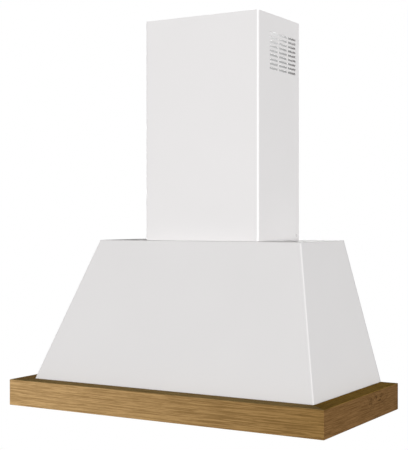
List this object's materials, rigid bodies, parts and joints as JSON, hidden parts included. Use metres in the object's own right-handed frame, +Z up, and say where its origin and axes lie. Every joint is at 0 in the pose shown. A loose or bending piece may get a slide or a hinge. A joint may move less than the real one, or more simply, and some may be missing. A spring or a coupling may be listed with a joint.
{
  "type": "chimney range hood",
  "caption": "Wall-mounted chimney range hood with a white pyramid canopy, an oak frame around its lower edge, a slotted telescopic chimney, swing-down grease filters and a blower.",
  "frame": {"origin": "on the wall plane and the centre line, level with the underside of the oak frame", "axes": "+X to the right seen from the front, +Y into the wall, +Z up"},
  "size_m": [0.9, 0.456, 1.014],
  "materials": {
    "oak": "oiled oak with fine grain",
    "white_paint": "satin white powder coat",
    "panel_steel": "brushed steel",
    "zinc_steel": "zinc-plated steel",
    "filter_aluminium": "satin aluminium",
    "bezel_chrome": "polished",
    "lens": "frosted",
    "black_plastic": "moulded",
    "white_plastic": "moulded",
    "grey_plastic": "moulded",
    "button_plastic": "moulded",
    "board": "circuit board",
    "rubber": "moulded rubber",
    "beech": "plain beech"
  },
  "bodies": {
    "hood": {"oak_front_rail": "oak", "oak_left_rail": "oak", "oak_right_rail": "oak", "mitre_dowels": "beech", "canopy_shell": "white_paint", "chimney_cover": "white_paint", "chimney_screws": "zinc_steel", "rail_screws": "zinc_steel", "back_panel": "zinc_steel", "back_panel_rivets": "zinc_steel", "bottom_panel": "panel_steel", "filter_pivot_lugs": "zinc_steel", "control_fascia": "black_plastic", "control_box": "grey_plastic", "control_board": "board", "motor": "zinc_steel", "motor_bearings": "zinc_steel", "motor_bracket": "zinc_steel", "motor_bracket_screws": "zinc_steel", "run_capacitor": "white_plastic", "outlet_collar": "black_plastic", "damper_pins": "zinc_steel", "collar_screws": "zinc_steel", "chimney_base_brackets": "zinc_steel", "terminal_box": "grey_plastic", "cable_grommet": "rubber", "control_lead": "rubber", "lead_clips": "white_plastic", "left_filter_keeper": "zinc_steel", "left_lamp_bezel": "bezel_chrome", "left_lamp_lens": "lens", "left_lamp_housing": "filter_aluminium", "left_blower_casing": "black_plastic", "right_filter_keeper": "zinc_steel", "right_lamp_bezel": "bezel_chrome", "right_lamp_lens": "lens", "right_lamp_housing": "filter_aluminium", "right_blower_casing": "black_plastic"},
    "extension": {"chimney_extension": "white_paint", "chimney_wall_bracket": "zinc_steel", "wall_bracket_screws": "zinc_steel"},
    "fan": {"impeller": "grey_plastic", "motor_shaft": "zinc_steel"},
    "damper_front": {"damper_flap_front": "grey_plastic"},
    "damper_rear": {"damper_flap_rear": "grey_plastic"},
    "filter_left": {"left_filter_frame": "filter_aluminium", "left_filter_mesh": "filter_aluminium", "left_latch_spring": "zinc_steel"},
    "latch_left": {"left_filter_latch": "zinc_steel"},
    "filter_right": {"right_filter_frame": "filter_aluminium", "right_filter_mesh": "filter_aluminium", "right_latch_spring": "zinc_steel"},
    "latch_right": {"right_filter_latch": "zinc_steel"},
    "button_off": {"button_off": "button_plastic"},
    "button_speed_low": {"button_speed_low": "button_plastic"},
    "button_speed_medium": {"button_speed_medium": "button_plastic"},
    "button_speed_high": {"button_speed_high": "button_plastic"},
    "button_light": {"button_light": "button_plastic"}
  },
  "joints": [
    {"name": "extension_slide", "type": "slide", "parent": "hood", "child": "extension", "axis": [0, 0, 1], "range_m": [0, 0.3]},
    {"name": "fan_spin", "type": "hinge", "parent": "hood", "child": "fan", "pos_m": [0, -0.174, 0.25], "axis": [1, 0, 0], "continuous": true},
    {"name": "damper_front_swing", "type": "hinge", "parent": "hood", "child": "damper_front", "pos_m": [0, -0.1215, 0.45595], "axis": [-1, 0, 0], "range_deg": [0, 78]},
    {"name": "damper_rear_swing", "type": "hinge", "parent": "hood", "child": "damper_rear", "pos_m": [0, -0.1125, 0.45595], "axis": [1, 0, 0], "range_deg": [0, 78]},
    {"name": "filter_left_swing", "type": "hinge", "parent": "hood", "child": "filter_left", "pos_m": [-0.184, -0.0385, 0.0195], "axis": [1, 0, 0], "range_deg": [0, 80], "deforming": ["left_filter_keeper"]},
    {"name": "latch_left_slide", "type": "slide", "parent": "filter_left", "child": "latch_left", "axis": [0, 1, 0], "range_m": [0, 0.006], "stiffness_N_per_m": 300, "springref_m": -0.006, "deforming": ["left_latch_spring"]},
    {"name": "filter_right_swing", "type": "hinge", "parent": "hood", "child": "filter_right", "pos_m": [0.184, -0.0385, 0.0195], "axis": [1, 0, 0], "range_deg": [0, 80], "deforming": ["right_filter_keeper"]},
    {"name": "latch_right_slide", "type": "slide", "parent": "filter_right", "child": "latch_right", "axis": [0, 1, 0], "range_m": [0, 0.006], "stiffness_N_per_m": 300, "springref_m": -0.006, "deforming": ["right_latch_spring"]},
    {"name": "button_off_push", "type": "slide", "parent": "hood", "child": "button_off", "axis": [0, 0, 1], "range_m": [0, 0.0015], "stiffness_N_per_m": 400, "springref_m": -0.001},
    {"name": "button_speed_low_push", "type": "slide", "parent": "hood", "child": "button_speed_low", "axis": [0, 0, 1], "range_m": [0, 0.0015], "stiffness_N_per_m": 400, "springref_m": -0.001},
    {"name": "button_speed_medium_push", "type": "slide", "parent": "hood", "child": "button_speed_medium", "axis": [0, 0, 1], "range_m": [0, 0.0015], "stiffness_N_per_m": 400, "springref_m": -0.001},
    {"name": "button_speed_high_push", "type": "slide", "parent": "hood", "child": "button_speed_high", "axis": [0, 0, 1], "range_m": [0, 0.0015], "stiffness_N_per_m": 400, "springref_m": -0.001},
    {"name": "button_light_push", "type": "slide", "parent": "hood", "child": "button_light", "axis": [0, 0, 1], "range_m": [0, 0.0015], "stiffness_N_per_m": 400, "springref_m": -0.001}
  ]
}
